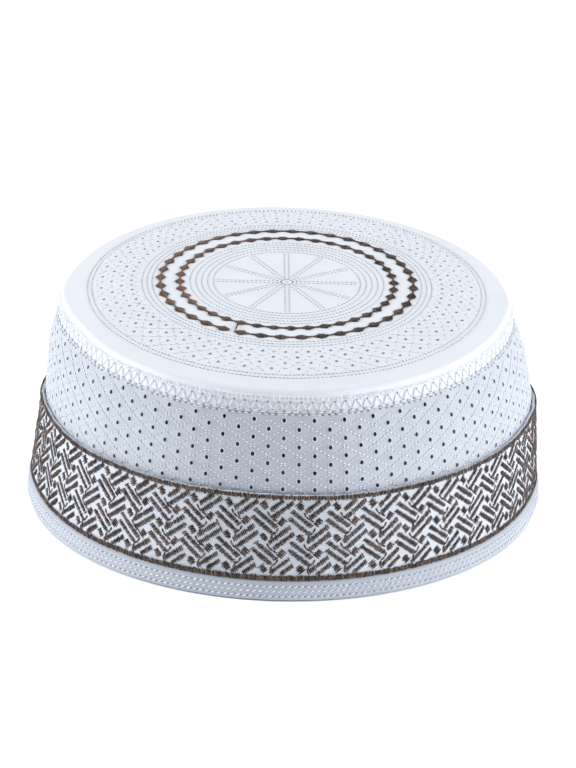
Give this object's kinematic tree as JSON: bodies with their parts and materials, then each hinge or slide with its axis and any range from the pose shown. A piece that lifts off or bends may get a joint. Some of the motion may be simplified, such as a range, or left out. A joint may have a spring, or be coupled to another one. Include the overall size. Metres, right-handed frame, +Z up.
{
  "type": "embroidered kufi cap",
  "caption": "Round embroidered cotton cap with an upright wall, a domed crown, a plaited band and an open rim.",
  "frame": {"origin": "on the floor, under the middle of the cap's rim", "axes": "+Z up through the crown, -Y is the front that the picture shows, +X is its right side"},
  "size_m": [0.1884, 0.1857, 0.0843],
  "materials": {
    "crown_cotton": "white cotton with eyelets and running stitches",
    "wall_cotton": "white cotton with rows of eyelets and running stitches",
    "band_embroidery": "white cotton covered with brown satin stitch in a plaited pattern",
    "hem_cotton": "folded white cotton with rows of stitches",
    "brown_satin": "brown satin stitch"
  },
  "bodies": {
    "root": {"crown_panel": "crown_cotton", "side_wall": "wall_cotton", "embroidered_band": "band_embroidery", "hem_binding": "hem_cotton", "band_border_top": "brown_satin", "band_border_bottom": "brown_satin", "crown_ring_inner": "brown_satin", "crown_ring_outer": "brown_satin"}
  },
  "joints": []
}
